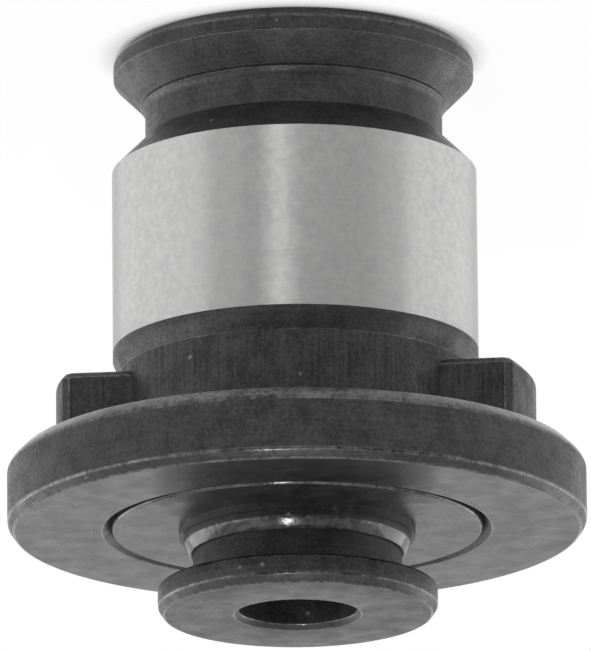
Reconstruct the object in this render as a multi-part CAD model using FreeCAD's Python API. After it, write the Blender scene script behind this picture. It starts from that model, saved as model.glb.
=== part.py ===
# Quick-change tapping adapter, size 1, for a 6 mm tap shank with a 4.9 mm square.
# It stands on the end face of its head, nose up: z = 0 is that face, and the axis is Z.
# The two drive lugs point along X. All sizes are in millimetres.
import FreeCAD
import Part
import math
import os

Vector = FreeCAD.Vector

# Head that the holder's locking balls pull on, and the locking groove behind it
head_d = 18.8
head_edge_chamfer = 0.5
head_rim_h = 0.8
groove_d = 15.5
groove_flank_deg = 45.0
groove_corner_step = 0.25
groove_corner_r = 0.7
groove_relief = 0.10
groove_neck_h = 2.0
ejector_hole_d = 8.0
ejector_hole_h = 5.0
ejector_hole_chamfer = 0.4

# Shank that locates in the holder, and the taper and hub above it
shank_d = 19.0
shank_h = 10.05
taper_h = 0.75
hub_d = 18.3
hub_h = 4.55

# Two drive lugs
lug_width = 9.0
lug_tip_d = 24.9
lug_h = 3.95
lug_chamfer = 0.3

# Flange
flange_d = 30.0
flange_h = 3.8
flange_shank_chamfer = 0.72
flange_face_chamfer = 0.32
flange_face_chamfer_h = 0.46

# Broached square socket and the spring chamber above it
tap_square = 4.9
square_clearance = 0.1
square_corner_d = 6.4
square_h = 7.4
chamber_d = 14.8
chamber_shoulder_chamfer = 0.4

# Cone bush, pressed into the flange
disc_d = 19.2
disc_h = 2.0
disc_edge_chamfer = 0.12
disc_seat_chamfer = 0.5
pilot_h = 4.0
pilot_edge_chamfer = 0.3
boss_foot_d = 12.24
boss_foot_h = 0.38
boss_d = 11.76
boss_shoulder_h = 0.75
boss_end_d = 11.12
boss_end_h = 0.55
guide_h = 2.3
cone_deg = 12.0

# Release sleeve: ball cage, neck and push ring in one piece
tap_shank_d = 6.0
tap_clearance = 0.06
sleeve_d = 10.8
sleeve_clearance = 0.06
sleeve_tail_h = 0.7
release_travel = 1.5
push_gap = 0.2
push_ring_d = 14.48
push_ring_h = 1.5
push_ring_chamfer = 0.3
push_ring_chamfer_h = 0.45
push_ring_back_chamfer = 0.15
neck_corner = 0.15
nose_mouth_chamfer = 0.27

# Clamping balls in the sleeve
ball_d = 3.0
ball_count = 3
ball_reach = 0.12
ball_clearance = 0.03
ball_seat_deg = 45.0
ball_cone_gap = 0.10

# Snap ring that keeps the sleeve in the bush
snap_ring_t = 0.7
snap_ring_depth = 0.45
snap_ring_wall_gap = 0.55
snap_ring_seat_gap = 0.05
snap_ring_side_gap = 0.04
snap_ring_slot = 5.2

# Release spring
wire_d = 0.7
spring_turns = 4.5
closed_turns = 1.0
closed_pitch = 0.72
wire_sides = 6
spring_end_gap = 0.05

# Heights along the axis, from the head's end face up to the nose
head_rim_z = head_edge_chamfer
head_flank_z = head_rim_z + head_rim_h
flank_slope = 1.0 / math.tan(math.radians(groove_flank_deg))
flank_end_r = groove_d / 2 + groove_corner_step
flank_end_z = head_flank_z + (head_d / 2 - flank_end_r) * flank_slope
neck_z = flank_end_z + groove_neck_h
shank_z = neck_z + (shank_d - groove_d) / 2 * flank_slope
taper_z = shank_z + shank_h
hub_z = taper_z + taper_h
flange_z = hub_z + hub_h
face_z = flange_z + flange_h
chamber_z = ejector_hole_h + square_h

# Radii and heights of the bush, the sleeve and what they hold
disc_z = face_z - disc_h
pilot_end_z = disc_z - pilot_h
boss_shoulder_z = face_z + boss_shoulder_h
boss_end_z = boss_shoulder_z + boss_end_h
cone_z = boss_end_z - guide_h
guide_r = (sleeve_d + sleeve_clearance) / 2
cone_mouth_r = guide_r + (cone_z - pilot_end_z) * math.tan(math.radians(cone_deg))
sleeve_bore_r = (tap_shank_d + tap_clearance) / 2
push_ring_z = boss_end_z + release_travel + push_gap
nose_z = push_ring_z + push_ring_h
ring_groove_r = sleeve_d / 2 - snap_ring_depth
ring_top_z = pilot_end_z - snap_ring_seat_gap
ring_bottom_z = ring_top_z - snap_ring_t
sleeve_end_z = ring_bottom_z - snap_ring_side_gap - sleeve_tail_h
ball_r = ball_d / 2
ball_path_r = sleeve_bore_r - ball_reach + ball_r
ball_cone_r = ball_path_r + (ball_r + ball_cone_gap) / math.cos(math.radians(cone_deg))
ball_z = cone_z - (ball_cone_r - guide_r) / math.tan(math.radians(cone_deg))
spring_r = (sleeve_bore_r + sleeve_d / 2) / 2
spring_top_z = sleeve_end_z - spring_end_gap

axis = Vector(0, 0, 1)
centre = Vector(0, 0, 0)


def turned(first, *steps):
    """Turn a closed outline about Z. A step is (r, z) for a line to that point,
    or (r, z, r, z) for an arc that passes through the first point to the second."""
    def place(r, z):
        return Vector(r, 0, z)

    edges = []
    here = place(*first)
    for step in steps + (first,):
        there = place(*step[-2:])
        if len(step) == 4:
            edges.append(Part.Arc(here, place(*step[:2]), there).toShape())
        else:
            edges.append(Part.LineSegment(here, there).toShape())
        here = there
    return Part.Face(Part.Wire(edges)).revolve(centre, axis, 360)


def corner_arc(r, z, radius, step):
    """Concave corner that leaves a flank at (r, z) and runs out along the cylinder
    that lies one step nearer the axis."""
    angle = math.acos(1 - step / radius)
    end_z = z + radius * math.sin(angle)
    mid_r = r - step + radius * (1 - math.cos(angle / 2))
    mid_z = end_z - radius * math.sin(angle / 2)
    return (mid_r, mid_z, r - step, end_z)


def body_outside():
    relief_r = flank_end_r - groove_relief
    relief_top_r = flank_end_r - groove_relief / 2
    relief_top_z = flank_end_z + 1.5 * groove_relief
    return turned(
        (0, 0),
        (head_d / 2 - head_edge_chamfer, 0),
        (head_d / 2, head_rim_z),
        (head_d / 2, head_flank_z),
        (flank_end_r, flank_end_z),
        (relief_r, flank_end_z + groove_relief / 2),
        (relief_top_r, relief_top_z),
        corner_arc(relief_top_r, relief_top_z, groove_corner_r, relief_top_r - groove_d / 2),
        (groove_d / 2, neck_z),
        (shank_d / 2, shank_z),
        (shank_d / 2, taper_z),
        (hub_d / 2, hub_z),
        (hub_d / 2, flange_z),
        (flange_d / 2 - flange_shank_chamfer, flange_z),
        (flange_d / 2, flange_z + flange_shank_chamfer),
        (flange_d / 2, face_z - flange_face_chamfer_h),
        (flange_d / 2 - flange_face_chamfer, face_z),
        (0, face_z),
    )


def lug_bar():
    """One bar across the hub. Its two ends are the drive lugs."""
    low_z = flange_z - lug_h
    height = lug_h + flange_shank_chamfer
    bar = Part.makeBox(lug_tip_d, lug_width, height, Vector(-lug_tip_d / 2, -lug_width / 2, low_z))
    bar = bar.common(Part.makeCylinder(lug_tip_d / 2, height, Vector(0, 0, low_z)))
    free_edges = []
    for edge in bar.Edges:
        middle = edge.CenterOfMass
        on_low_face = abs(edge.BoundBox.ZMax - low_z) < 1e-6
        stands_up = edge.BoundBox.ZLength > height / 2 and abs(middle.y) > lug_width / 2 - 1e-6
        if on_low_face or stands_up:
            free_edges.append(edge)
    return bar.makeChamfer(lug_chamfer, free_edges)


def body_inside():
    """The ejector hole, the square socket, the spring chamber and the seat of the bush."""
    hole = turned(
        (0, 0),
        (ejector_hole_d / 2 + ejector_hole_chamfer, 0),
        (ejector_hole_d / 2, ejector_hole_chamfer),
        (ejector_hole_d / 2, ejector_hole_h),
        (0, ejector_hole_h),
    )
    side = tap_square + square_clearance
    socket = Part.makeBox(side, side, square_h, Vector(-side / 2, -side / 2, ejector_hole_h))
    corners = Part.makeCylinder(square_corner_d / 2, square_h, Vector(0, 0, ejector_hole_h))
    chamber = turned(
        (0, chamber_z),
        (chamber_d / 2 - chamber_shoulder_chamfer, chamber_z),
        (chamber_d / 2, chamber_z + chamber_shoulder_chamfer),
        (chamber_d / 2, disc_z),
        (disc_d / 2, disc_z),
        (disc_d / 2, face_z - disc_seat_chamfer),
        (disc_d / 2 + disc_seat_chamfer, face_z),
        (0, face_z),
    )
    return hole.fuse([socket.common(corners), chamber])


def adapter_body():
    return body_outside().fuse(lug_bar()).cut(body_inside()).removeSplitter()


def cone_bush():
    return turned(
        (guide_r, cone_z),
        (cone_mouth_r, pilot_end_z),
        (chamber_d / 2 - pilot_edge_chamfer, pilot_end_z),
        (chamber_d / 2, pilot_end_z + pilot_edge_chamfer),
        (chamber_d / 2, disc_z),
        (disc_d / 2, disc_z),
        (disc_d / 2, face_z - disc_edge_chamfer),
        (disc_d / 2 - disc_edge_chamfer, face_z),
        (boss_foot_d / 2, face_z),
        (boss_foot_d / 2, face_z + boss_foot_h),
        (boss_d / 2, face_z + boss_foot_h),
        (boss_d / 2, boss_shoulder_z),
        (boss_end_d / 2, boss_end_z),
        (guide_r, boss_end_z),
    )


def ball_places():
    """Centre of each ball, evenly spaced around the sleeve."""
    places = []
    for index in range(ball_count):
        turn = 2 * math.pi * index / ball_count + math.pi / 2
        places.append(Vector(ball_path_r * math.cos(turn), ball_path_r * math.sin(turn), ball_z))
    return places


def ball_pocket(place):
    """Hole drilled from outside. Its cone leaves an opening to the bore that the ball can't pass."""
    radius = ball_r + ball_clearance
    slope = math.radians(ball_seat_deg)
    inward = Vector(-place.x, -place.y, 0).normalize()
    seat = place + inward * radius * math.tan(slope / 2)
    drill = Part.makeCylinder(radius, sleeve_d / 2, seat, -inward)
    point = Part.makeCone(radius, 0, radius / math.tan(slope), seat, inward)
    return drill.fuse(point)


def release_sleeve():
    outer = sleeve_d / 2
    ring_r = push_ring_d / 2
    sleeve = turned(
        (sleeve_bore_r, sleeve_end_z),
        (outer, sleeve_end_z),
        (outer, ring_bottom_z - snap_ring_side_gap),
        (ring_groove_r, ring_bottom_z - snap_ring_side_gap),
        (ring_groove_r, ring_top_z + snap_ring_side_gap),
        (outer, ring_top_z + snap_ring_side_gap),
        (outer, push_ring_z - neck_corner),
        (outer + neck_corner, push_ring_z),
        (ring_r - push_ring_back_chamfer, push_ring_z),
        (ring_r, push_ring_z + push_ring_back_chamfer),
        (ring_r, nose_z - push_ring_chamfer_h),
        (ring_r - push_ring_chamfer, nose_z),
        (sleeve_bore_r + nose_mouth_chamfer, nose_z),
        (sleeve_bore_r, nose_z - nose_mouth_chamfer),
    )
    return sleeve.cut([ball_pocket(place) for place in ball_places()])


def sleeve_snap_ring():
    """Flat open ring. Its slot lets it spring over the sleeve into the groove."""
    outer = chamber_d / 2 - snap_ring_wall_gap
    ring = Part.makeCylinder(outer, snap_ring_t, Vector(0, 0, ring_bottom_z))
    bore = Part.makeCylinder(ring_groove_r, snap_ring_t, Vector(0, 0, ring_bottom_z))
    slot = Part.makeBox(outer, snap_ring_slot, snap_ring_t, Vector(0, -snap_ring_slot / 2, ring_bottom_z))
    return ring.cut([bore, slot])


def spring_path():
    """Centre line of the wire: a closed coil at each end and the working coils between."""
    closed_h = closed_turns * closed_pitch
    working_h = spring_top_z - chamber_z - 2 * closed_h
    working_pitch = working_h / (spring_turns - 2 * closed_turns)
    stretches = [(closed_pitch, closed_h), (working_pitch, working_h), (closed_pitch, closed_h)]
    edges = []
    turned_deg = 0.0
    height = chamber_z
    for pitch, stretch_h in stretches:
        helix = Part.makeHelix(pitch, stretch_h, spring_r)
        helix.rotate(centre, axis, turned_deg)
        helix.translate(Vector(0, 0, height))
        edges += helix.Edges
        turned_deg += 360 * stretch_h / pitch
        height += stretch_h
    return Part.Wire(edges)


def wire_section():
    """Section of the spring's wire, with few sides because the wire is thin."""
    corners = []
    for side in range(wire_sides):
        turn = 2 * math.pi * (side + 0.5) / wire_sides
        corner_r = spring_r + wire_d / 2 * math.cos(turn)
        corners.append(Vector(corner_r, 0, chamber_z + wire_d / 2 * math.sin(turn)))
    return Part.makePolygon(corners + corners[:1])


def release_spring():
    """Compression spring. Half of the wire is ground away at its flat ends."""
    coil = spring_path().makePipeShell([wire_section()], True, True)
    between_ends = Part.makeCylinder(chamber_d / 2, spring_top_z - chamber_z, Vector(0, 0, chamber_z))
    return coil.common(between_ends)


parts = {
    "adapter_body": adapter_body(),
    "cone_bush": cone_bush(),
    "release_sleeve": release_sleeve(),
    "sleeve_snap_ring": sleeve_snap_ring(),
    "release_spring": release_spring(),
}
for index, place in enumerate(ball_places()):
    parts["clamping_ball_%d" % (index + 1)] = Part.makeSphere(ball_r, place)

os.makedirs("parts", exist_ok=True)
for name, shape in parts.items():
    shape.exportStep("parts/" + name + ".step")
    box = shape.BoundBox
    print("%-18s solids %d  valid %s  volume %8.2f mm3  z %6.2f to %6.2f" % (
        name, len(shape.Solids), shape.isValid(), shape.Volume, box.ZMin, box.ZMax))
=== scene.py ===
import math

import bmesh
import bpy
from mathutils import Matrix, Vector


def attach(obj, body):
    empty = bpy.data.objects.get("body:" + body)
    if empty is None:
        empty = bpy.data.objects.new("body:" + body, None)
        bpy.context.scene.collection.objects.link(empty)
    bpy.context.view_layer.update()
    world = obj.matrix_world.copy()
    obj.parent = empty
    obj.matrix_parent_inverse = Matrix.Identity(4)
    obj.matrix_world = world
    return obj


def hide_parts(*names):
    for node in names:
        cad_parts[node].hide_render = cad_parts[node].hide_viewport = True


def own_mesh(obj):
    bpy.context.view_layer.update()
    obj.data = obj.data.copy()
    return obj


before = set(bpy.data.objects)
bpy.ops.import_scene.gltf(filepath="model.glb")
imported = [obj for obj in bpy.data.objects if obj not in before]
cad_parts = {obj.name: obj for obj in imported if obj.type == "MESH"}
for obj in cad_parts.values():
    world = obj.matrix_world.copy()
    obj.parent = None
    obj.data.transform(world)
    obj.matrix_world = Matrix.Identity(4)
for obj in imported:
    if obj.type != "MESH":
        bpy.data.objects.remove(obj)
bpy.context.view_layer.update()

mm = 0.001                   # sizes are in mm and angles in degrees, unless a note says otherwise


def linearColour(code):
    channels = [int(code[place:place + 2], 16) / 255 for place in (1, 3, 5)]
    linear = [c / 12.92 if c <= 0.04045 else ((c + 0.055) / 1.055) ** 2.4 for c in channels]
    return (*linear, 1.0)


def addNode(tree, kind, inputs=None, **settings):
    # an input is a plain value, an output that feeds it, or a node whose first output does
    made = tree.nodes.new("ShaderNode" + kind)
    for name, value in settings.items():
        setattr(made, name, value)
    for name, value in (inputs or {}).items():
        if isinstance(value, bpy.types.Node):
            value = value.outputs[0]
        if isinstance(value, bpy.types.NodeSocket):
            tree.links.new(value, made.inputs[name])
        else:
            made.inputs[name].default_value = value
    return made


def newMaterial(name):
    material = bpy.data.materials.new(name)
    material.use_nodes = True
    material.node_tree.nodes.clear()
    return material, material.node_tree


def outward(azimuth, elevation):
    # a direction away from the part. Azimuth is counted from the front, which is -Y.
    a = math.radians(azimuth)
    e = math.radians(elevation)
    return Vector((math.sin(a) * math.cos(e), -math.cos(a) * math.cos(e), math.sin(e)))


# Camera. It looks a little down on the nose and is turned upside down.
camera = {
    "azimuth": -6.2,
    "elevation": 15.44,
    "distance": 653.2,
    "aimHeight": 14.585,
    "lens": 695.2,
    "lean": 0.493,
    "clip": (0.01, 20),      # m
}


def placeCamera(values):
    a = math.radians(values["azimuth"])
    back = outward(values["azimuth"], values["elevation"])
    right = Vector((math.cos(a), math.sin(a), 0))
    up = back.cross(right)
    roll = math.radians(180 - values["lean"])
    turnedRight = right * math.cos(roll) + up * math.sin(roll)
    turnedUp = back.cross(turnedRight)
    data = bpy.data.cameras.new("camera")
    data.lens = values["lens"]
    data.clip_start, data.clip_end = values["clip"]
    made = bpy.data.objects.new("camera", data)
    bpy.context.scene.collection.objects.link(made)
    spot = Vector((0, 0, values["aimHeight"] * mm)) + back * values["distance"] * mm
    axes = Matrix((turnedRight, turnedUp, back)).transposed()
    made.matrix_world = Matrix.Translation(spot) @ axes.to_4x4()
    bpy.context.scene.camera = made


placeCamera(camera)
bpy.context.scene.view_settings.view_transform = "Standard"
print("camera placed")


# Studio: a matt white floor in a white surround, soft lamps, and two felt cards that the ground
# steel mirrors as darker strips. The floor, the lamps and the cards are in metres.
studio = {
    "floorSize": 6.0,
    "floorGap": 0.01,        # mm below the part
    "floorColour": "#f7f7f7",
    "floorWhite": 0.94,
    "shadowFrom": 8.8,       # mm from the axis. Nearer, the floor keeps its whole shadow.
    "shadowTo": 10.4,
    "clearFrom": 4.6,        # mm from the axis. The head's end face covers this part of the floor.
    "clearTo": 8.7,
    "surroundLight": 0.80,
    "whiteSeen": 1.0,
    "aimHeight": 15,         # mm
    "lampDistance": 0.7,
    "lamps": {
        "leftPanel": {"azimuth": 93, "elevation": 14, "size": (1.30, 0.34), "radiance": 1.9},
        "rightPanel": {"azimuth": -114, "elevation": 14, "size": (0.95, 0.34), "radiance": 1.78},
        "frontTopBox": {"azimuth": 0, "elevation": 58, "size": (0.45, 0.22), "radiance": 0.6},
        "keySpot": {"azimuth": 5.0, "elevation": 45, "size": (0.08, 0.08), "radiance": 50.0},
    },
    "cardDistance": 0.85,
    "cards": {
        "darkCard": {"azimuth": -23, "elevation": 14, "size": (1.20, 0.34),
                     "felt": "greyFelt", "colour": "#484848"},
        "narrowFlag": {"azimuth": 20, "elevation": 36, "size": (0.13, 1.10),
                       "felt": "blackFelt", "colour": "#101010"},
    },
}


def seenWhite(tree):
    # one for what the camera, a reflection or glass sees, and nought for what lights the object
    path = addNode(tree, "LightPath").outputs
    some = addNode(tree, "Math", {0: path["Is Camera Ray"], 1: path["Is Glossy Ray"]},
                   operation="MAXIMUM")
    return addNode(tree, "Math", {0: some, 1: path["Is Transmission Ray"]}, operation="MAXIMUM")


def layFloor(values):
    bpy.ops.mesh.primitive_plane_add(size=values["floorSize"],
                                     location=(0, 0, -values["floorGap"] * mm))
    floor = bpy.context.object
    floor.name = "studioFloor"
    material, tree = newMaterial("mattWhitePaint")
    paint = addNode(tree, "BsdfDiffuse", {"Color": linearColour(values["floorColour"])})
    white = addNode(tree, "Emission", {"Strength": values["whiteSeen"]})
    spot = addNode(tree, "TexCoord").outputs["Object"]
    reach = addNode(tree, "VectorMath", {0: spot}, operation="LENGTH").outputs["Value"]
    fade = addNode(tree, "MapRange", {
        "Value": reach, "From Min": values["shadowFrom"] * mm,
        "From Max": values["shadowTo"] * mm, "To Max": values["floorWhite"]})
    share = addNode(tree, "Math", {0: seenWhite(tree), 1: fade}, operation="MULTIPLY")
    top = addNode(tree, "MixShader", {0: share, 1: paint, 2: white})

    # from below, and under the head's end face, the floor is clear. That lights the end face for
    # a look from below.
    below = addNode(tree, "NewGeometry").outputs["Backfacing"]
    past = addNode(tree, "Math", {0: reach, 1: values["clearFrom"] * mm},
                   operation="GREATER_THAN")
    within = addNode(tree, "Math", {0: reach, 1: values["clearTo"] * mm}, operation="LESS_THAN")
    covered = addNode(tree, "Math", {0: past, 1: within}, operation="MULTIPLY")
    hidden = addNode(tree, "Math", {0: below, 1: covered}, operation="MAXIMUM")
    clear = addNode(tree, "BsdfTransparent")
    both = addNode(tree, "MixShader", {0: hidden, 1: top, 2: clear})
    addNode(tree, "OutputMaterial", {"Surface": both})
    floor.data.materials.append(material)


def wrapSurround(values):
    world = bpy.data.worlds.new("whiteSurround")
    world.use_nodes = True
    tree = world.node_tree
    tree.nodes.clear()
    white = (1, 1, 1, 1)
    light = addNode(tree, "Background", {"Color": white, "Strength": values["surroundLight"]})
    seen = addNode(tree, "Background", {"Color": white, "Strength": values["whiteSeen"]})
    mixed = addNode(tree, "MixShader", {0: seenWhite(tree), 1: light, 2: seen})
    addNode(tree, "OutputWorld", {"Surface": mixed})
    bpy.context.scene.world = world


def aimAtPart(thing, piece, distance, height):
    away = outward(piece["azimuth"], piece["elevation"])
    thing.location = Vector((0, 0, height * mm)) + away * distance
    thing.rotation_mode = "QUATERNION"
    thing.rotation_quaternion = away.to_track_quat("Z", "Y")


def hangLamps(values):
    for name, lamp in values["lamps"].items():
        data = bpy.data.lights.new(name, "AREA")
        data.shape = "RECTANGLE"
        data.size, data.size_y = lamp["size"]
        data.energy = lamp["radiance"] * math.pi * data.size * data.size_y
        made = bpy.data.objects.new(name, data)
        bpy.context.scene.collection.objects.link(made)
        aimAtPart(made, lamp, values["lampDistance"], values["aimHeight"])


def hangCards(values):
    for name, piece in values["cards"].items():
        bpy.ops.mesh.primitive_plane_add(size=1)
        card = bpy.context.object
        card.name = name
        card.scale = (*piece["size"], 1)
        aimAtPart(card, piece, values["cardDistance"], values["aimHeight"])
        card.visible_camera = False
        material, tree = newMaterial(piece["felt"])
        felt = addNode(tree, "BsdfDiffuse", {"Color": linearColour(piece["colour"])})
        addNode(tree, "OutputMaterial", {"Surface": felt})
        card.data.materials.append(material)


layFloor(studio)
wrapSurround(studio)
hangLamps(studio)
hangCards(studio)
print("studio built")


# Materials

# Black oxide on hardened steel, oiled: nearly black, with soft white reflections that grow strong
# at a flat angle, faint tool marks, and lighter metal where an edge is worn.
blackOxide = {
    "dark": "#0c0c0d",
    "light": "#323234",
    "worn": "#9a9a98",
    "ior": 1.45,
    "cloud": 1.3,            # size of the patches in the oxide
    "cloudDetail": 4.0,
    "grain": 0.18,           # grain of the oxide, drawn coarser than real so that it shows
    "grainDetail": 1.0,
    "grainDepth": 0.0003,
    "marks": 0.15,           # tool marks, drawn about three times coarser than real
    "marksDetail": 3.0,
    "ringStretch": 0.02,     # how little a turned mark changes on its way round the axis
    "lineStretch": 0.03,     # and a milled one on its way along it
    "darkest": 0.25,         # the patterns' sum that gives the darkest and the lightest oxide
    "lightest": 0.75,
    "glossSpread": 0.2,      # share by which the roughness goes up and down with them
    "rub": 1.6,              # length of the rubbed places along an edge
    "rubDetail": 3.0,
    "rubFrom": 0.8,
    "rubTo": 1.25,
    "nick": 0.28,            # small dents in an edge
    "nickDetail": 2.0,
    "nickDepth": 0.008,
    "speckSpacing": 1.2,     # the few bare specks
    "speck": 0.12,           # their reach and their even middle, as shares of that spacing
    "speckMiddle": 0.048,
    "speckStrength": 0.5,
    "speckPick": 0.8,        # share of the places that have none
}

# One finish for each way the steel was worked. The two shares are how much the tool marks and the
# grain show in the colour and the gloss, and wear is the most bare metal on a rubbed edge.
oxideFinishes = {
    "turnedBlackOxide": {"roughness": 0.42, "marks": "turned", "markDepth": 0.0006,
                         "markShare": 0.45, "grainShare": 0.9, "wear": 0.0},
    "facedBlackOxide": {"roughness": 0.30, "marks": "turned", "markDepth": 0.0001,
                        "markShare": 0.3, "grainShare": 0.3, "wear": 0.0},
    "dullFacedBlackOxide": {"roughness": 0.39, "marks": "turned", "markDepth": 0.0001,
                            "markShare": 0.3, "grainShare": 0.3, "wear": 0.0},
    "fineTurnedBlackOxide": {"roughness": 0.15, "marks": "turned", "markDepth": 0.0002,
                             "markShare": 0.5, "grainShare": 0.6, "wear": 0.26},
    "milledBlackOxide": {"roughness": 0.48, "marks": "milled", "markDepth": 0.0030,
                         "markShare": 1.0, "grainShare": 0.9, "wear": 0.0},
    "wornBlackOxideEdge": {"roughness": 0.20, "marks": "turned", "markDepth": 0.0005,
                           "markShare": 0.3, "grainShare": 0.9, "wear": 0.34},
}


def toolMarks(tree, place, kind, values):
    # rings round the axis where it was turned, and lines along it where it was milled
    if kind == "milled":
        path = addNode(tree, "VectorMath", {0: place, 1: (1, 1, values["lineStretch"])},
                       operation="MULTIPLY")
    else:
        around = values["ringStretch"]
        flat = addNode(tree, "VectorMath", {0: place, 1: (1, 1, 0)}, operation="MULTIPLY")
        radius = addNode(tree, "VectorMath", {0: flat}, operation="LENGTH").outputs["Value"]
        height = addNode(tree, "SeparateXYZ", {0: place}).outputs["Z"]
        across = addNode(tree, "Math", {0: radius, 1: height}, operation="SUBTRACT")
        feed = addNode(tree, "CombineXYZ", {"Z": across})
        slow = addNode(tree, "VectorMath", {0: place, 1: (around, around, 0)},
                       operation="MULTIPLY")
        path = addNode(tree, "VectorMath", {0: slow, 1: feed}, operation="ADD")
    return addNode(tree, "TexNoise", {"Vector": path, "Scale": 1 / (values["marks"] * mm),
                                      "Detail": values["marksDetail"]})


def makeBlackOxide(name, values, finish):
    material, tree = newMaterial(name)
    place = addNode(tree, "TexCoord").outputs["Object"]
    cloud, grain, rub, nick = [
        addNode(tree, "TexNoise", {"Vector": place, "Scale": 1 / (values[pattern] * mm),
                                   "Detail": values[pattern + "Detail"]})
        for pattern in ("cloud", "grain", "rub", "nick")]
    marks = toolMarks(tree, place, finish["marks"], values)

    # the patches, the grain and the tool marks together set the colour and the gloss
    mottle = cloud
    for pattern, share in ((grain, finish["grainShare"]), (marks, finish["markShare"])):
        shown = addNode(tree, "MapRange", {"Value": pattern, "To Min": -share / 2,
                                           "To Max": share / 2})
        mottle = addNode(tree, "Math", {0: mottle, 1: shown}, operation="ADD")
    tone = addNode(tree, "MapRange", {"Value": mottle, "From Min": values["darkest"],
                                      "From Max": values["lightest"]})
    oxide = addNode(tree, "Mix", {0: tone, 6: linearColour(values["dark"]),
                                  7: linearColour(values["light"])}, data_type="RGBA").outputs[2]
    rough = addNode(tree, "MapRange", {
        "Value": tone, "To Min": finish["roughness"] * (1 + values["glossSpread"]),
        "To Max": finish["roughness"] * (1 - values["glossSpread"])})

    # worn edges are lighter in patches and have small dents
    patch = addNode(tree, "Math", {0: rub, 1: nick}, operation="ADD")
    worn = addNode(tree, "MapRange", {"Value": patch, "From Min": values["rubFrom"],
                                      "From Max": values["rubTo"], "To Max": finish["wear"]})
    # a few specks are bare
    dots = addNode(tree, "TexVoronoi", {
        "Vector": place, "Scale": 1 / (values["speckSpacing"] * mm)}).outputs
    speck = addNode(tree, "MapRange", {
        "Value": dots["Distance"], "From Min": values["speckMiddle"],
        "From Max": values["speck"], "To Min": values["speckStrength"], "To Max": 0.0})
    number = addNode(tree, "SeparateColor", {0: dots["Color"]})
    picked = addNode(tree, "Math", {0: number, 1: values["speckPick"]}, operation="GREATER_THAN")
    specks = addNode(tree, "Math", {0: speck, 1: picked}, operation="MULTIPLY")
    bare = addNode(tree, "Math", {0: worn, 1: specks}, operation="MAXIMUM")
    colour = addNode(tree, "Mix", {0: bare, 6: oxide, 7: linearColour(values["worn"])},
                     data_type="RGBA").outputs[2]

    relief = addNode(tree, "Bump", {"Height": marks, "Distance": finish["markDepth"] * mm})
    small, depth = (nick, values["nickDepth"]) if finish["wear"] else (grain, values["grainDepth"])
    uneven = addNode(tree, "Bump", {"Height": small, "Distance": depth * mm, "Normal": relief})
    surface = addNode(tree, "BsdfPrincipled", {
        "Base Color": colour, "Metallic": bare, "Roughness": rough, "IOR": values["ior"],
        "Normal": uneven})
    addNode(tree, "OutputMaterial", {"Surface": surface})
    return material


# Hardened steel, cylindrically ground: bright grey, with fine lines round the axis that draw
# every reflection out into an upright streak.
groundSteel = {
    "dark": "#a8a8a8",
    "light": "#b7b7b6",
    "roughness": 0.42,
    "roughSpread": 0.03,
    "anisotropy": 0.97,
    "turn": 0.25,            # of a full turn, so that the streak stands upright
    "lines": 0.08,           # grinding lines, drawn coarser than real
    "linesDetail": 3.0,
    "lineStretch": 0.05,     # how little a line changes on its way round the axis
    "lineShare": 0.45,
    "cloud": 0.40,
    "cloudDetail": 1.0,
    "darkest": 0.3,
    "lightest": 0.7,
}


def makeGroundSteel(name, values):
    material, tree = newMaterial(name)
    place = addNode(tree, "TexCoord").outputs["Object"]
    around = values["lineStretch"]
    drawn = addNode(tree, "VectorMath", {0: place, 1: (around, around, 1)}, operation="MULTIPLY")
    lines, cloud = [
        addNode(tree, "TexNoise", {"Vector": path, "Scale": 1 / (values[pattern] * mm),
                                   "Detail": values[pattern + "Detail"]})
        for pattern, path in (("lines", drawn), ("cloud", place))]
    share = values["lineShare"]
    shown = addNode(tree, "MapRange", {"Value": lines, "To Min": -share / 2, "To Max": share / 2})
    mottle = addNode(tree, "Math", {0: cloud, 1: shown}, operation="ADD")
    tone = addNode(tree, "MapRange", {"Value": mottle, "From Min": values["darkest"],
                                      "From Max": values["lightest"]})
    colour = addNode(tree, "Mix", {0: tone, 6: linearColour(values["dark"]),
                                   7: linearColour(values["light"])}, data_type="RGBA").outputs[2]
    rough = addNode(tree, "MapRange", {
        "Value": tone, "To Min": values["roughness"] - values["roughSpread"],
        "To Max": values["roughness"] + values["roughSpread"]})
    tangent = addNode(tree, "Tangent", direction_type="RADIAL", axis="Z")
    surface = addNode(tree, "BsdfPrincipled", {
        "Base Color": colour, "Metallic": 1.0, "Roughness": rough,
        "Anisotropic": values["anisotropy"], "Anisotropic Rotation": values["turn"],
        "Tangent": tangent})
    addNode(tree, "OutputMaterial", {"Surface": surface})
    return material


# Steels inside. Oil-tempered spring wire is dark grey with a dull sheen, and polished bearing
# balls are bright and mirror what is round them.
innerSteels = {
    "oilTemperedSpringSteel": {"dark": "#4c4c50", "light": "#707074", "roughness": (0.28, 0.455),
                               "grain": 0.12, "grainDetail": 4.0},
    "polishedBearingSteel": {"dark": "#bdbdbf", "light": "#cfcfd0", "roughness": (0.064, 0.104),
                             "grain": 0.6, "grainDetail": 4.0},
}


def makeInnerSteel(name, values):
    material, tree = newMaterial(name)
    place = addNode(tree, "TexCoord").outputs["Object"]
    grain = addNode(tree, "TexNoise", {"Vector": place, "Scale": 1 / (values["grain"] * mm),
                                       "Detail": values["grainDetail"]})
    colour = addNode(tree, "Mix", {0: grain, 6: linearColour(values["dark"]),
                                   7: linearColour(values["light"])}, data_type="RGBA").outputs[2]
    smoothest, roughest = values["roughness"]
    rough = addNode(tree, "MapRange", {"Value": grain, "To Min": smoothest, "To Max": roughest})
    surface = addNode(tree, "BsdfPrincipled", {
        "Base Color": colour, "Metallic": 1.0, "Roughness": rough})
    addNode(tree, "OutputMaterial", {"Surface": surface})
    return material


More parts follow.
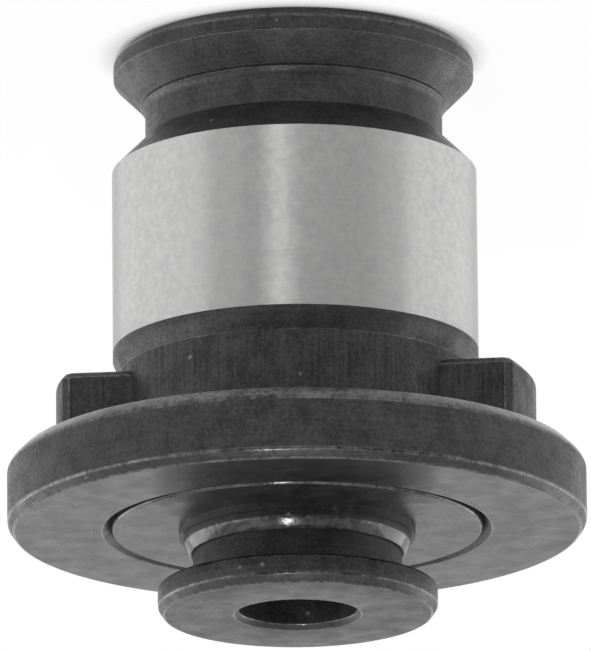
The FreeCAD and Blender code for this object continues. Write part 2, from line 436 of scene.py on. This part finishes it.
turnedBlack, facedBlack, dullFacedBlack, smoothBlack, milledBlack, edgeBlack = [
    makeBlackOxide(name, blackOxide, finish) for name, finish in oxideFinishes.items()]
groundBand = makeGroundSteel("groundSteel", groundSteel)
springWire, ballSurface = [makeInnerSteel(name, steel) for name, steel in innerSteels.items()]
print("materials made")


# Meshes. A piece is a closed row of rings, each a list of points with as many points as the others.
roundLimit = 0.16            # widest rounding of an edge
roundSteps = 3
sharpAngle = 35
weldDistance = 0.0005        # joins the points of two rings where they lie on each other
turnedSides = 288            # of a round piece


def evenAngles(count):
    return [2 * math.pi * step / count for step in range(count)]


def circle(radius, height, angles):
    return [(radius * math.cos(a), radius * math.sin(a), height) for a in angles]


def ringPiece(name, rings, finishes, cutter=None):
    # a row of rings holds (points, rounding of the ring's edge, finish up to the next ring,
    # and for a ring with lugs the edges that are rounded and the corners of the lugs).
    # The last finish is the one of the rounded edges.
    build = bmesh.new()
    weight = build.edges.layers.float.new("bevel_weight_edge")
    loops = [[build.verts.new([c * mm for c in point]) for point in row[0]] for row in rings]
    count = len(loops[0])
    for row, here, there in zip(rings, loops, loops[1:] + loops[:1]):
        rounded, corners = row[3:] or (range(count), ())
        for k in range(count):
            after = (k + 1) % count
            face = build.faces.new((here[k], here[after], there[after], there[k]))
            face.material_index = row[2]
            face.smooth = True
        for k in rounded:
            build.edges.get((here[k], here[(k + 1) % count]))[weight] = row[1] / roundLimit
        for k in corners:
            build.edges.get((here[k], there[k]))[weight] = row[1] / roundLimit
    bmesh.ops.remove_doubles(build, verts=build.verts, dist=weldDistance * mm)
    mesh = bpy.data.meshes.new(name)
    build.to_mesh(mesh)
    build.free()
    piece = bpy.data.objects.new(name, mesh)
    bpy.context.scene.collection.objects.link(piece)
    for finish in finishes:
        mesh.materials.append(finish)

    rounding = piece.modifiers.new("roundedEdges", "BEVEL")
    rounding.limit_method = "WEIGHT"
    rounding.width = roundLimit * mm
    rounding.segments = roundSteps
    rounding.use_clamp_overlap = False
    rounding.material = len(finishes) - 1
    if cutter:
        cut = piece.modifiers.new("pockets", "BOOLEAN")
        cut.operation = "DIFFERENCE"
        cut.object = cutter
        cut.solver = "EXACT"
    scene = bpy.context.evaluated_depsgraph_get()
    shaped = bpy.data.meshes.new_from_object(piece.evaluated_get(scene))
    piece.modifiers.clear()
    piece.data = shaped
    shaped.name = name
    shaped.set_sharp_from_angle(angle=math.radians(sharpAngle))
    normals = piece.modifiers.new("faceNormals", "WEIGHTED_NORMAL")
    normals.keep_sharp = True
    return piece


# Adapter body: head, locking groove, ground shank, hub with its two drive lugs, and flange
body = {
    "headRadius": 9.4, "headEdge": 0.5, "headRim": 0.8,
    "grooveRadius": 7.75, "cornerStep": 0.25, "relief": 0.10, "cornerRadius": 0.7, "neck": 2.0,
    "shankRadius": 9.5, "groundBand": 9.6, "shank": 10.05,
    "taper": 0.75, "hubRadius": 9.15, "hub": 4.55,
    "lugWidth": 9.0, "lugTip": 12.45, "lug": 3.95, "lugChamfer": 0.3,
    "hubRise": 0.1,          # the hub's points at each ring of the lugs lie this much higher
    "flangeRadius": 15.0, "flange": 3.8, "backChamfer": 0.58, "faceChamfer": 0.32,
    "faceChamferHeight": 0.46,
    "seatRadius": 9.6, "seatDepth": 2.0, "seatChamfer": 0.5,
    "chamberRadius": 7.4, "chamberFloor": 12.4, "chamberChamfer": 0.4,
    "square": 5.0, "squareCorner": 3.2, "hole": 4.0, "holeDepth": 5.0, "holeChamfer": 0.4,
    "fineEdge": 0.02, "socketEdge": 0.03, "edge": 0.05, "softEdge": 0.10, "rubbedEdge": 0.16,
}


def lugCorners(values, inset):
    # polar angles of the lug's corners: tip to chamfer, chamfer to side, side to hub
    half = values["lugWidth"] / 2
    tip = values["lugTip"]
    lean = math.asin(half / tip)
    facing = (math.pi / 2 + lean) / 2
    corner = Vector((tip * math.cos(lean), half))
    reach = corner.dot(Vector((math.cos(facing), math.sin(facing))))
    reach -= values["lugChamfer"] * math.cos(facing) + inset
    side = half - inset
    tipAngle = facing - math.acos(reach / (tip - inset))
    sideX = (reach - side * math.sin(facing)) / math.cos(facing)
    return {
        "facing": facing, "reach": reach, "side": side, "tip": tip - inset,
        "keys": (0.0, tipAngle, math.atan2(side, sideX), math.asin(side / values["hubRadius"]),
                 math.pi / 2),
    }


# steps over a quarter of the body: half the lug's tip, its chamfer, its side, and the hub
lugSteps = (16, 3, 8, 48)
cornerSteps = (lugSteps[0], lugSteps[0] + lugSteps[1])
hubStep = cornerSteps[1] + lugSteps[2]
quarter = sum(lugSteps)


def quarterAngles(keys):
    angles = []
    for first, last, steps in zip(keys, keys[1:], lugSteps):
        angles += [first + (last - first) * step / steps for step in range(steps)]
    return angles + [keys[-1]]


def bodyAngles(keys):
    first = quarterAngles(keys)
    second = [math.pi - a for a in first[-2::-1]]
    upper = first + second[:-1]
    return upper + [math.pi + a for a in upper]


def stepOfQuarter(index):
    # how far a point is from the nearest lug's middle, in steps
    index = index % (2 * quarter)
    return min(index, 2 * quarter - index)


def lugRing(values, inset, height, hubHeight):
    shape = lugCorners(values, inset)
    points = []
    for index, a in enumerate(bodyAngles(shape["keys"])):
        step = stepOfQuarter(index)
        if step >= hubStep:
            radius = values["hubRadius"]
        else:
            fromLug = abs(math.remainder(a, math.pi))
            radius = min(shape["tip"], shape["reach"] / math.cos(fromLug - shape["facing"]))
            if step > 0:
                radius = min(radius, shape["side"] / math.sin(fromLug))
        points.append((radius * math.cos(a), radius * math.sin(a),
                       hubHeight if step > hubStep else height))
    return points


def socketRing(values, height, angles):
    half = values["square"] / 2
    points = []
    for a in angles:
        across = max(abs(math.cos(a)), abs(math.sin(a)))
        radius = min(half / across, values["squareCorner"])
        points.append((radius * math.cos(a), radius * math.sin(a), height))
    return points


def cornerArc(start, end, radius, steps=9):
    # quarter-round corner that leaves start and ends running along the axis at end
    angle = math.acos(1 - (start - end) / radius)
    return [(end + radius * (1 - math.cos(angle * (1 - k / steps))),
             radius * (math.sin(angle) - math.sin(angle * (1 - k / steps))))
            for k in range(1, steps + 1)]


def buildBody(values):
    v = values
    black, ground, milled, faced, worn = range(5)
    edge, soft = v["edge"], v["softEdge"]
    full = bodyAngles(lugCorners(v, 0)["keys"])
    inner = bodyAngles(lugCorners(v, v["lugChamfer"])["keys"])
    flankFoot = v["grooveRadius"] + v["cornerStep"]
    rimTop = v["headEdge"] + v["headRim"]
    footZ = rimTop + v["headRadius"] - flankFoot
    neckTop = footZ + v["neck"]
    shankZ = neckTop + v["shankRadius"] - v["grooveRadius"]
    taperZ = shankZ + v["shank"]
    hubZ = taperZ + v["taper"]
    flangeZ = hubZ + v["hub"]
    faceZ = flangeZ + v["flange"]
    lugZ = flangeZ - v["lug"]
    chamferZ = lugZ + v["lugChamfer"]
    # the relief cut goes in by its depth, and half out again over the same height
    reliefZ = footZ + 1.5 * v["relief"]
    reliefRadius = flankFoot - v["relief"] / 2

    def ring(radius, height, rounding=0.0, finish=black):
        return (circle(radius, height, full), rounding, finish)

    rings = [
        ring(v["hole"] + v["holeChamfer"], 0, edge),
        ring(v["headRadius"] - v["headEdge"], 0, soft),
        ring(v["headRadius"], v["headEdge"], soft),
        ring(v["headRadius"], rimTop, v["fineEdge"]),
        ring(flankFoot, footZ, v["fineEdge"]),
        ring(flankFoot - v["relief"], footZ + v["relief"] / 2),
        ring(reliefRadius, reliefZ, v["fineEdge"]),
    ]
    for radius, rise in cornerArc(reliefRadius, v["grooveRadius"], v["cornerRadius"]):
        rings.append(ring(radius, reliefZ + rise))
    rings += [
        ring(v["grooveRadius"], neckTop),
        ring(v["shankRadius"], shankZ, 0, ground),
        ring(v["shankRadius"], shankZ + v["groundBand"]),
        ring(v["shankRadius"], taperZ),
        ring(v["hubRadius"], hubZ, v["fineEdge"], milled),
        (circle(v["hubRadius"], lugZ, inner), 0, milled),
    ]
    # the edges round each lug, and both corners of its two chamfers
    around = [k for k in range(4 * quarter)
              if max(stepOfQuarter(k), stepOfQuarter(k + 1)) <= hubStep]
    corners = [k for k in range(4 * quarter) if stepOfQuarter(k) in cornerSteps]
    rings += [
        (lugRing(v, v["lugChamfer"], lugZ, lugZ + v["hubRise"]), edge, milled, around, ()),
        (lugRing(v, 0, chamferZ, chamferZ + v["hubRise"]), edge, milled, around, corners),
        (lugRing(v, 0, flangeZ, flangeZ), 0, black),
        ring(v["flangeRadius"] - v["backChamfer"], flangeZ, edge, worn),
        ring(v["flangeRadius"], flangeZ + v["backChamfer"], v["rubbedEdge"]),
        ring(v["flangeRadius"], faceZ - v["faceChamferHeight"], soft),
        ring(v["flangeRadius"] - v["faceChamfer"], faceZ, soft, faced),
        ring(v["seatRadius"] + v["seatChamfer"], faceZ, edge),
        ring(v["seatRadius"], faceZ - v["seatChamfer"]),
        ring(v["seatRadius"], faceZ - v["seatDepth"]),
        ring(v["chamberRadius"], faceZ - v["seatDepth"], edge),
        ring(v["chamberRadius"], v["chamberFloor"] + v["chamberChamfer"]),
        ring(v["chamberRadius"] - v["chamberChamfer"], v["chamberFloor"]),
        (socketRing(v, v["chamberFloor"], full), v["socketEdge"], black),
        (socketRing(v, v["holeDepth"], full), v["socketEdge"], black),
        ring(v["hole"], v["holeDepth"]),
        ring(v["hole"], v["holeChamfer"], edge),
    ]
    finishes = [turnedBlack, groundBand, milledBlack, facedBlack, edgeBlack]
    piece = ringPiece("adapterBody", rings, finishes)
    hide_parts("adapter_body")
    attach(piece, "body")
    return faceZ


faceZ = buildBody(body)
print("adapter body built")


# Cone bush: disc in the flange's face, boss round the sleeve, and the cone inside
bush = {
    "discRadius": 9.6, "disc": 2.0, "discEdge": 0.07, "discEdgeHeight": 0.12,
    "pilotRadius": 7.4, "pilot": 4.0, "pilotEdge": 0.3,
    "footRadius": 6.12, "foot": 0.38, "bossRadius": 5.88, "shoulder": 0.75,
    "endRadius": 5.56, "end": 0.55, "guideRadius": 5.43, "guide": 2.3, "cone": 12.0,
    "edge": 0.03, "softEdge": 0.08,
}


def buildBush(values, faceZ):
    v = values
    turned, faced, smooth = range(3)
    angles = evenAngles(turnedSides)
    discZ = faceZ - v["disc"]
    pilotZ = discZ - v["pilot"]
    shoulderZ = faceZ + v["shoulder"]
    endZ = shoulderZ + v["end"]
    coneZ = endZ - v["guide"]
    mouth = v["guideRadius"] + (coneZ - pilotZ) * math.tan(math.radians(v["cone"]))
    outline = [
        (mouth, pilotZ, v["edge"], turned),
        (v["pilotRadius"] - v["pilotEdge"], pilotZ, v["edge"], turned),
        (v["pilotRadius"], pilotZ + v["pilotEdge"], v["edge"], turned),
        (v["pilotRadius"], discZ, 0, turned),
        (v["discRadius"], discZ, v["edge"], turned),
        (v["discRadius"], faceZ - v["discEdgeHeight"], v["edge"], smooth),
        (v["discRadius"] - v["discEdge"], faceZ, v["edge"], faced),
        (v["footRadius"], faceZ, 0, turned),
        (v["footRadius"], faceZ + v["foot"], 0, turned),
        (v["bossRadius"], faceZ + v["foot"], 0, turned),
        (v["bossRadius"], shoulderZ, v["softEdge"], smooth),
        (v["endRadius"], endZ, v["edge"], turned),
        (v["guideRadius"], endZ, v["edge"], turned),
        (v["guideRadius"], coneZ, 0, turned),
    ]
    rings = [(circle(r, z, angles), rounding, finish) for r, z, rounding, finish in outline]
    piece = ringPiece("coneBush", rings, [turnedBlack, facedBlack, smoothBlack, edgeBlack])
    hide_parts("cone_bush")
    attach(piece, "body")
    return endZ, pilotZ, coneZ


bushEndZ, bushPilotZ, bushConeZ = buildBush(bush, faceZ)
print("cone bush built")


# Release sleeve: ball cage, neck and push ring, with three drilled ball pockets
sleeve = {
    "radius": 5.4, "boreRadius": 3.03, "tail": 0.7, "travel": 1.5, "gap": 0.2,
    "ringRadius": 7.24, "ring": 1.5, "ringChamfer": 0.3, "ringChamferHeight": 0.45,
    "ringBack": 0.15, "neckCorner": 0.15, "mouth": 0.27,
    "grooveRadius": 4.95, "snapRing": 0.7, "seatGap": 0.05, "sideGap": 0.04,
    "ballRadius": 1.5, "ballReach": 0.12, "ballGap": 0.03, "coneGap": 0.10,
    "drillPoint": 90, "drillStart": 1.0, "drillSides": 48,
    "fineEdge": 0.02, "edge": 0.05, "softEdge": 0.08,
}


def ballHeight(values):
    # each ball reaches into the bore by ballReach and clears the bush's cone by coneGap
    lean = math.radians(bush["cone"])
    path = values["boreRadius"] - values["ballReach"] + values["ballRadius"]
    wall = path + (values["ballRadius"] + values["coneGap"]) / math.cos(lean)
    return path, bushConeZ - (wall - bush["guideRadius"]) / math.tan(lean)


def pocketCutter(values):
    # three pointed drills that point at the axis and start outside the sleeve
    v = values
    path, height = ballHeight(v)
    radius = v["ballRadius"] + v["ballGap"]
    half = math.radians(v["drillPoint"] / 2)
    seat = path - radius * math.tan(half / 2)
    build = bmesh.new()
    for turn in range(3):
        rim = []
        for reach in (v["radius"] + v["drillStart"], seat):
            rim.append([build.verts.new(Vector((reach, radius * math.cos(a), radius * math.sin(a))))
                        for a in evenAngles(v["drillSides"])])
        point = build.verts.new((seat - radius / math.tan(half), 0, 0))
        build.faces.new(rim[0])
        for k in range(v["drillSides"]):
            after = (k + 1) % v["drillSides"]
            build.faces.new((rim[0][after], rim[0][k], rim[1][k], rim[1][after]))
            build.faces.new((rim[1][after], rim[1][k], point))
        spin = Matrix.Rotation(math.pi / 2 + turn * 2 * math.pi / 3, 4, "Z")
        made = rim[0] + rim[1] + [point]
        bmesh.ops.transform(build, verts=made, matrix=Matrix.Translation((0, 0, height)) @ spin)
    bmesh.ops.scale(build, verts=build.verts, vec=(mm, mm, mm))
    mesh = bpy.data.meshes.new("pocketCutter")
    build.to_mesh(mesh)
    build.free()
    cutter = bpy.data.objects.new("pocketCutter", mesh)
    bpy.context.scene.collection.objects.link(cutter)
    return cutter


def buildSleeve(values):
    v = values
    turned, dull = range(2)
    angles = evenAngles(turnedSides)
    ringTop = bushPilotZ - v["seatGap"]
    ringLow = ringTop - v["snapRing"]
    grooveLow = ringLow - v["sideGap"]
    grooveTop = ringTop + v["sideGap"]
    tailZ = grooveLow - v["tail"]
    pushZ = bushEndZ + v["travel"] + v["gap"]
    noseZ = pushZ + v["ring"]
    outline = [
        (v["boreRadius"], tailZ, v["edge"], turned),
        (v["radius"], tailZ, v["edge"], turned),
        (v["radius"], grooveLow, v["fineEdge"], turned),
        (v["grooveRadius"], grooveLow, 0, turned),
        (v["grooveRadius"], grooveTop, 0, turned),
        (v["radius"], grooveTop, v["fineEdge"], turned),
        (v["radius"], pushZ - v["neckCorner"], 0, turned),
        (v["radius"] + v["neckCorner"], pushZ, 0, turned),
        (v["ringRadius"] - v["ringBack"], pushZ, v["edge"], turned),
        (v["ringRadius"], pushZ + v["ringBack"], v["edge"], turned),
        (v["ringRadius"], noseZ - v["ringChamferHeight"], v["softEdge"], turned),
        (v["ringRadius"] - v["ringChamfer"], noseZ, v["softEdge"], dull),
        (v["boreRadius"] + v["mouth"], noseZ, v["edge"], turned),
        (v["boreRadius"], noseZ - v["mouth"], v["edge"], turned),
    ]
    rings = [(circle(r, z, angles), rounding, finish) for r, z, rounding, finish in outline]
    cutter = pocketCutter(v)
    piece = ringPiece("releaseSleeve", rings, [turnedBlack, dullFacedBlack, edgeBlack], cutter)
    bpy.data.objects.remove(cutter)
    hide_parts("release_sleeve")
    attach(piece, "sleeve")
    return tailZ


tailZ = buildSleeve(sleeve)
print("release sleeve built")


# Release spring: round wire, a closed coil at each end, ends ground flat
spring = {"radius": 4.215, "wire": 0.35, "turns": 4.5, "closedTurns": 1.0, "closedPitch": 0.72,
          "endGap": 0.05, "around": 16, "stepsPerTurn": 64}


def buildSpring(values, tailZ):
    v = values
    low = body["chamberFloor"]
    top = tailZ - v["endGap"]
    closed = v["closedTurns"] * v["closedPitch"]
    working = (top - low - 2 * closed) / (v["turns"] - 2 * v["closedTurns"])
    total = int(v["turns"] * v["stepsPerTurn"])
    build = bmesh.new()
    hoops = []
    for step in range(total + 1):
        turn = step / v["stepsPerTurn"]
        first = min(turn, v["closedTurns"])
        last = max(turn - (v["turns"] - v["closedTurns"]), 0)
        height = low + (first + last) * v["closedPitch"] + (turn - first - last) * working
        spin = 2 * math.pi * turn
        hoop = []
        for a in evenAngles(v["around"]):
            reach = v["radius"] + v["wire"] * math.cos(a)
            rise = min(max(height + v["wire"] * math.sin(a), low), top)
            hoop.append(build.verts.new((reach * math.cos(spin) * mm, reach * math.sin(spin) * mm,
                                         rise * mm)))
        hoops.append(hoop)
    build.faces.new(hoops[0])
    build.faces.new(hoops[-1][::-1])
    for here, there in zip(hoops, hoops[1:]):
        for k in range(v["around"]):
            after = (k + 1) % v["around"]
            build.faces.new((here[after], here[k], there[k], there[after])).smooth = True
    bmesh.ops.recalc_face_normals(build, faces=build.faces)
    mesh = bpy.data.meshes.new("releaseSpring")
    build.to_mesh(mesh)
    build.free()
    mesh.materials.append(springWire)
    piece = bpy.data.objects.new("releaseSpring", mesh)
    bpy.context.scene.collection.objects.link(piece)
    mesh.set_sharp_from_angle(angle=math.radians(sharpAngle))
    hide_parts("release_spring")
    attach(piece, "body")
    height = top - low
    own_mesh(piece)


buildSpring(spring, tailZ)

# The snap ring and the three balls keep their solids and get their steels
for nodeName, finish, slotName in (
        ("sleeve_snap_ring", springWire, "spring_steel"),
        ("clamping_ball_1", ballSurface, "ball_steel"),
        ("clamping_ball_2", ballSurface, "ball_steel"),
        ("clamping_ball_3", ballSurface, "ball_steel")):
    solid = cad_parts[nodeName]
    solid.data.materials.clear()
    solid.data.materials.append(finish)
print("spring, snap ring and balls dressed")
